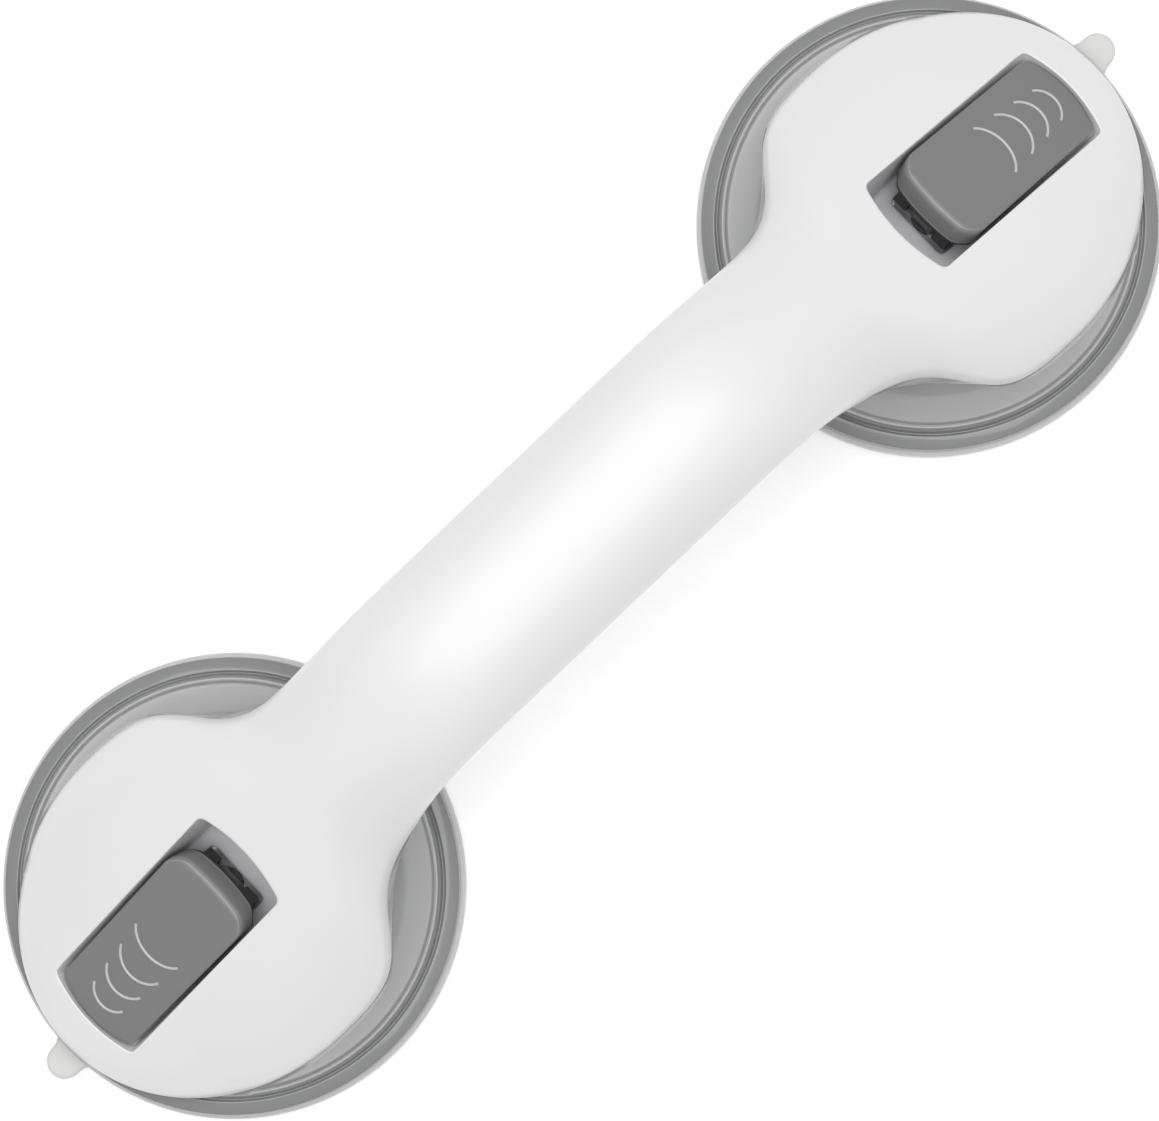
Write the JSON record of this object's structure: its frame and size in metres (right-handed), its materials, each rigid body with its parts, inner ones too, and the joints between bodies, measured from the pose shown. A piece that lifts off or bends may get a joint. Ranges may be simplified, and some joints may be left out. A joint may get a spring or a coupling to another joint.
{
  "type": "suction grab bar",
  "caption": "Bridge-shaped grab bar with a hollow two-shell grip on round suction cups, each under a domed housing and clamped by a cam lever set in the sloping pad.",
  "frame": {"origin": "on the wall plane, midway between the two suction cups", "axes": "+X along the bar, +Z away from the wall"},
  "size_m": [0.3122, 0.098, 0.075],
  "materials": {
    "white_abs": "gloss moulded ABS",
    "grey_abs": "gloss moulded ABS",
    "lever_grey": "satin moulded ABS",
    "cup_rubber": "translucent soft PVC",
    "stud_nylon": "black glass-filled nylon",
    "plate_black": "black acetal",
    "steel": "stainless steel"
  },
  "bodies": {
    "handle": {"top_shell": "white_abs", "bottom_shell": "white_abs", "shell_screws": "steel", "cup_housing_left": "grey_abs", "cup_housing_right": "grey_abs", "housing_screws_left": "steel", "housing_screws_right": "steel", "wear_plate_left": "plate_black", "wear_plate_right": "plate_black", "suction_cup_left": "cup_rubber", "suction_cup_right": "cup_rubber"},
    "stud_left": {"pull_stud_left": "stud_nylon"},
    "stud_right": {"pull_stud_right": "stud_nylon"},
    "lever_left": {"lever_left": "lever_grey", "lever_pin_left": "steel"},
    "lever_right": {"lever_right": "lever_grey", "lever_pin_right": "steel"}
  },
  "joints": [
    {"name": "stud_slide_left", "type": "slide", "parent": "handle", "child": "stud_left", "axis": [0, 0, 1], "range_m": [-0.003, 0], "deforming": ["suction_cup_left"]},
    {"name": "lever_hinge_left", "type": "hinge", "parent": "stud_left", "child": "lever_left", "pos_m": [-0.101, 0, 0.02795], "axis": [0, 1, 0], "range_deg": [0, 85]},
    {"name": "stud_slide_right", "type": "slide", "parent": "handle", "child": "stud_right", "axis": [0, 0, 1], "range_m": [-0.003, 0], "deforming": ["suction_cup_right"]},
    {"name": "lever_hinge_right", "type": "hinge", "parent": "stud_right", "child": "lever_right", "pos_m": [0.101, 0, 0.02795], "axis": [0, -1, 0], "range_deg": [0, 85]}
  ],
  "couplings": [
    {"joint": "lever_hinge_left", "follows": "stud_slide_left", "rad_per_m": -494.5},
    {"joint": "lever_hinge_right", "follows": "stud_slide_right", "rad_per_m": -494.5}
  ]
}
